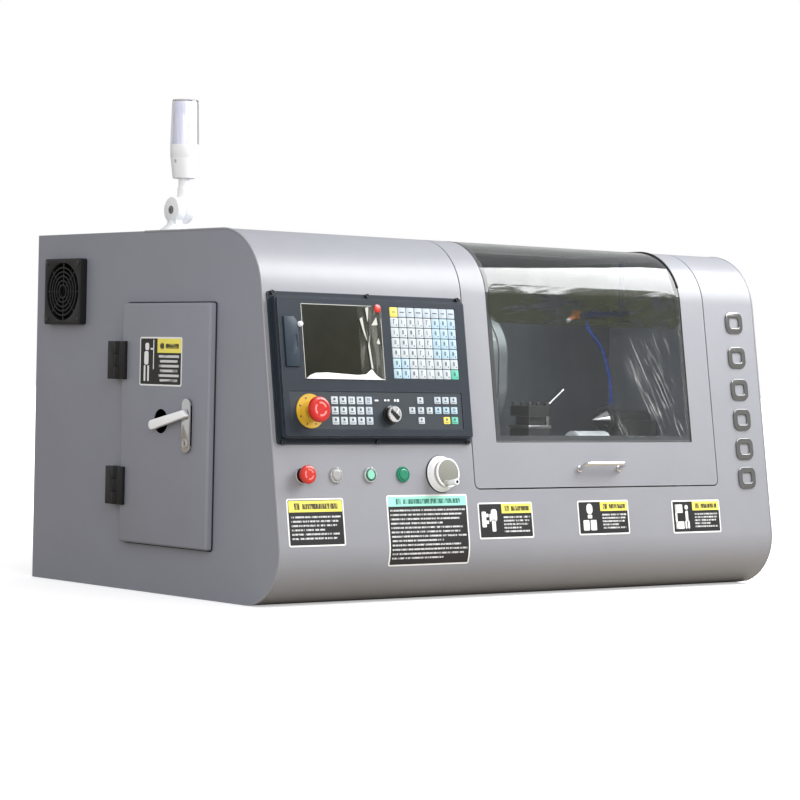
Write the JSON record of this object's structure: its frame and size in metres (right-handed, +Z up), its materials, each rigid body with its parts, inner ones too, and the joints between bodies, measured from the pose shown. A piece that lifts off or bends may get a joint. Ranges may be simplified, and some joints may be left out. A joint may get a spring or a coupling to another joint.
{
  "type": "enclosed cnc lathe with milling head",
  "caption": "Enclosed bench machining centre: lift-up hood with bent window, side door, control panel, signal lamp, chuck, tool post, milling head and tailstock",
  "frame": {"origin": "centre of the cabinet's footprint, on the floor", "axes": "+X from the control end to the tailstock end, the operator's front looks along -Y, +Z up"},
  "size_m": [1.23, 0.8019, 0.876],
  "materials": {
    "cabinet_paint": "satin light-grey powder coat",
    "side_paint": "satin light-grey powder coat",
    "panel_plastic": "slate-grey moulded plastic",
    "screen": "dark screen under film",
    "keys": "printed membrane keys",
    "black_plastic": "black moulded plastic",
    "red_plastic": "red moulded plastic",
    "yellow_plastic": "yellow moulded plastic",
    "green_plastic": "green moulded plastic",
    "mint_plastic": "pale green lens",
    "grey_plastic": "grey moulded plastic",
    "white_plastic": "white moulded plastic",
    "lens": "clear frosted lens",
    "window_sheet": "bent clear sheet",
    "chrome": "polished chrome plate",
    "steel": "ground steel",
    "iron": "painted cast iron",
    "aluminium": "anodised aluminium",
    "liner_metal": "grey painted sheet",
    "motor_paint": "black painted motor",
    "belt_rubber": "toothed belt rubber",
    "blue_hose": "blue moulded plastic"
  },
  "bodies": {
    "root": {"base_tray": "side_paint", "left_end_plate": "side_paint", "right_end_plate": "side_paint", "front_skin": "cabinet_paint", "rear_cover": "side_paint", "chamber_liner": "liner_metal", "hood_hinge": "steel", "door_hinge_posts": "black_plastic", "fan_housing": "black_plastic", "panel_body": "panel_plastic", "display": "screen", "keypad": "keys", "estop_ring": "yellow_plastic", "button_bezels": "chrome", "handwheel_body": "white_plastic", "lamp_foot": "white_plastic", "bed": "iron", "headstock": "iron", "spindle_motor": "motor_paint", "drive_belt": "belt_rubber", "coolant_pipe": "blue_hose", "air_tube": "blue_hose"},
    "hood": {"hood_shell": "cabinet_paint", "window": "window_sheet", "hood_handle": "chrome"},
    "side_door": {"side_door": "side_paint", "door_lock": "chrome", "door_hinge_leaves": "black_plastic"},
    "lock_lever": {"door_lever": "white_plastic"},
    "fan": {"fan_impeller": "black_plastic"},
    "usb_cover": {"usb_flap": "black_plastic"},
    "estop": {"estop_button": "red_plastic"},
    "override": {"override_knob": "black_plastic"},
    "stop": {"stop_button": "red_plastic"},
    "reset": {"reset_button": "grey_plastic"},
    "start": {"start_button": "mint_plastic"},
    "cycle": {"cycle_button": "green_plastic"},
    "dial": {"handwheel_dial": "grey_plastic"},
    "crank": {"handwheel_knob": "white_plastic"},
    "lamp": {"lamp_stem": "white_plastic", "lamp_head": "white_plastic", "lamp_lens": "lens"},
    "spindle": {"spindle": "steel", "chuck": "steel"},
    "jaw_1": {"jaw_1": "steel"},
    "jaw_2": {"jaw_2": "steel"},
    "jaw_3": {"jaw_3": "steel"},
    "motor_pulley": {"motor_pulley": "aluminium"},
    "saddle": {"saddle": "iron"},
    "lead_screw": {"lead_screw": "steel"},
    "cross_slide": {"cross_slide": "iron", "mill_motor": "aluminium"},
    "tool_post": {"tool_post": "steel"},
    "post_lever": {"post_lever": "chrome"},
    "collet": {"mill_collet": "steel"},
    "tailstock": {"tailstock": "iron"},
    "quill": {"tail_quill": "steel"},
    "centre": {"tail_centre": "chrome"},
    "hose": {"coolant_hose": "blue_hose"},
    "guard": {"chuck_guard": "aluminium"}
  },
  "joints": [
    {"name": "hood_lift", "type": "hinge", "parent": "root", "child": "hood", "pos_m": [0.152, 0.09, 0.6445], "axis": [-1, 0, 0], "range_deg": [0, 70]},
    {"name": "side_door_swing", "type": "hinge", "parent": "root", "child": "side_door", "pos_m": [-0.616, 0.085, 0.3], "axis": [0, 0, -1], "range_deg": [0, 105]},
    {"name": "lock_lever_turn", "type": "hinge", "parent": "side_door", "child": "lock_lever", "pos_m": [-0.6255, -0.1335, 0.319], "axis": [1, 0, 0], "range_deg": [0, 77]},
    {"name": "fan_spin", "type": "hinge", "parent": "root", "child": "fan", "pos_m": [-0.59, 0.2765, 0.534], "axis": [1, 0, 0], "continuous": true},
    {"name": "usb_cover_open", "type": "hinge", "parent": "root", "child": "usb_cover", "pos_m": [-0.57275, -0.3494, 0.44785], "axis": [0, -0.1478, -0.989], "range_deg": [0, 90]},
    {"name": "estop_push", "type": "slide", "parent": "root", "child": "estop", "axis": [0, 0.989, -0.1478], "range_m": [0, 0.005], "stiffness_N_per_m": 800},
    {"name": "override_turn", "type": "hinge", "parent": "root", "child": "override", "pos_m": [-0.353, -0.3744, 0.32662], "axis": [0, -0.989, 0.1478], "range_deg": [-135, 135]},
    {"name": "stop_push", "type": "slide", "parent": "root", "child": "stop", "axis": [0, 0.989, -0.1478], "range_m": [0, 0.005], "stiffness_N_per_m": 400},
    {"name": "reset_push", "type": "slide", "parent": "root", "child": "reset", "axis": [0, 0.989, -0.1478], "range_m": [0, 0.001], "stiffness_N_per_m": 400},
    {"name": "start_push", "type": "slide", "parent": "root", "child": "start", "axis": [0, 0.989, -0.1478], "range_m": [0, 0.001], "stiffness_N_per_m": 400},
    {"name": "cycle_push", "type": "slide", "parent": "root", "child": "cycle", "axis": [0, 0.989, -0.1478], "range_m": [0, 0.001], "stiffness_N_per_m": 400},
    {"name": "dial_turn", "type": "hinge", "parent": "root", "child": "dial", "pos_m": [-0.236, -0.37459, 0.22382], "axis": [0, -0.989, 0.1478], "continuous": true},
    {"name": "crank_spin", "type": "hinge", "parent": "dial", "child": "crank", "pos_m": [-0.24203, -0.39514, 0.20813], "axis": [0, -0.989, 0.1478], "continuous": true},
    {"name": "lamp_fold", "type": "hinge", "parent": "root", "child": "lamp", "pos_m": [-0.546, 0.003, 0.679], "axis": [-1, 0, 0], "range_deg": [0, 90]},
    {"name": "spindle_spin", "type": "hinge", "parent": "root", "child": "spindle", "pos_m": [0, -0.046, 0.311], "axis": [1, 0, 0], "continuous": true},
    {"name": "motor_spin", "type": "hinge", "parent": "root", "child": "motor_pulley", "pos_m": [-0.337, 0.17, 0.2], "axis": [1, 0, 0], "continuous": true},
    {"name": "jaw_1_slide", "type": "slide", "parent": "spindle", "child": "jaw_1", "axis": [0, 0, 1], "range_m": [-0.009, 0.004]},
    {"name": "jaw_2_slide", "type": "slide", "parent": "spindle", "child": "jaw_2", "axis": [0, -0.866, -0.5], "range_m": [-0.009, 0.004]},
    {"name": "jaw_3_slide", "type": "slide", "parent": "spindle", "child": "jaw_3", "axis": [0, 0.866, -0.5], "range_m": [-0.009, 0.004]},
    {"name": "carriage_slide", "type": "slide", "parent": "root", "child": "saddle", "axis": [1, 0, 0], "range_m": [-0.03, 0.15]},
    {"name": "lead_screw_turn", "type": "hinge", "parent": "root", "child": "lead_screw", "pos_m": [0, -0.046, 0.13], "axis": [1, 0, 0], "range_deg": [-1080, 5400]},
    {"name": "cross_slide_feed", "type": "slide", "parent": "saddle", "child": "cross_slide", "axis": [0, 1, 0], "range_m": [-0.06, 0.05]},
    {"name": "tool_post_index", "type": "hinge", "parent": "cross_slide", "child": "tool_post", "pos_m": [0.162, -0.157, 0.3], "axis": [0, 0, 1], "continuous": true},
    {"name": "post_lever_turn", "type": "hinge", "parent": "cross_slide", "child": "post_lever", "pos_m": [0.206, -0.157, 0.3], "axis": [0, 0, 1], "range_deg": [-45, 60]},
    {"name": "mill_spin", "type": "hinge", "parent": "cross_slide", "child": "collet", "pos_m": [0.2, -0.222, 0.268], "axis": [1, 0, 0], "continuous": true},
    {"name": "tailstock_slide", "type": "slide", "parent": "root", "child": "tailstock", "axis": [1, 0, 0], "range_m": [-0.12, 0]},
    {"name": "quill_feed", "type": "slide", "parent": "tailstock", "child": "quill", "axis": [1, 0, 0], "range_m": [-0.045, 0]},
    {"name": "centre_spin", "type": "hinge", "parent": "quill", "child": "centre", "pos_m": [0.45, -0.046, 0.311], "axis": [1, 0, 0], "continuous": true},
    {"name": "hose_swivel", "type": "hinge", "parent": "root", "child": "hose", "pos_m": [0.4, -0.046, 0.519], "axis": [1, 0, 0], "range_deg": [-60, 60]},
    {"name": "guard_swing", "type": "hinge", "parent": "root", "child": "guard", "pos_m": [0.02, 0.01547, 0.37742], "axis": [1, 0, 0], "range_deg": [0, 45.6]}
  ],
  "couplings": [
    {"joint": "motor_spin", "follows": "spindle_spin", "ratio": 1.4792},
    {"joint": "jaw_2_slide", "follows": "jaw_1_slide", "ratio": 1},
    {"joint": "jaw_3_slide", "follows": "jaw_1_slide", "ratio": 1},
    {"joint": "lead_screw_turn", "follows": "carriage_slide", "rad_per_m": 628.32}
  ]
}
